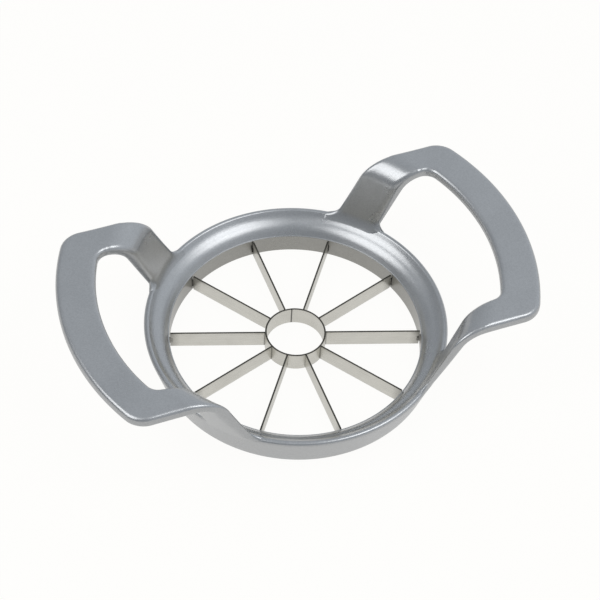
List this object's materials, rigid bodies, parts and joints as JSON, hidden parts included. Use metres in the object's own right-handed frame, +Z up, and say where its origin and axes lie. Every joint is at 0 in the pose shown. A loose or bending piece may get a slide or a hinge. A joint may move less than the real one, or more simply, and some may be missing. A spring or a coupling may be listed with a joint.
{
  "type": "apple wedger press",
  "caption": "Two-handled apple wedger: a cast aluminium ring with raised loop handles holds radial steel blades round a core ring, pressed straight down over an apple.",
  "frame": {"origin": "centre of the cutting ring, on the plane the ring stands on", "axes": "+X along the two handles, +Y across them, +Z up along the ring's axis, away from the work"},
  "size_m": [0.167, 0.1078, 0.04],
  "materials": {
    "casting": "satin, fine cast sparkle under a clear lacquer",
    "blade_steel": "satin stainless strip"
  },
  "bodies": {
    "root": {"cast_frame": "casting", "core_ring": "blade_steel", "blade_01": "blade_steel", "blade_02": "blade_steel", "blade_03": "blade_steel", "blade_04": "blade_steel", "blade_05": "blade_steel", "blade_06": "blade_steel", "blade_07": "blade_steel", "blade_08": "blade_steel", "blade_09": "blade_steel", "blade_10": "blade_steel"}
  },
  "joints": []
}
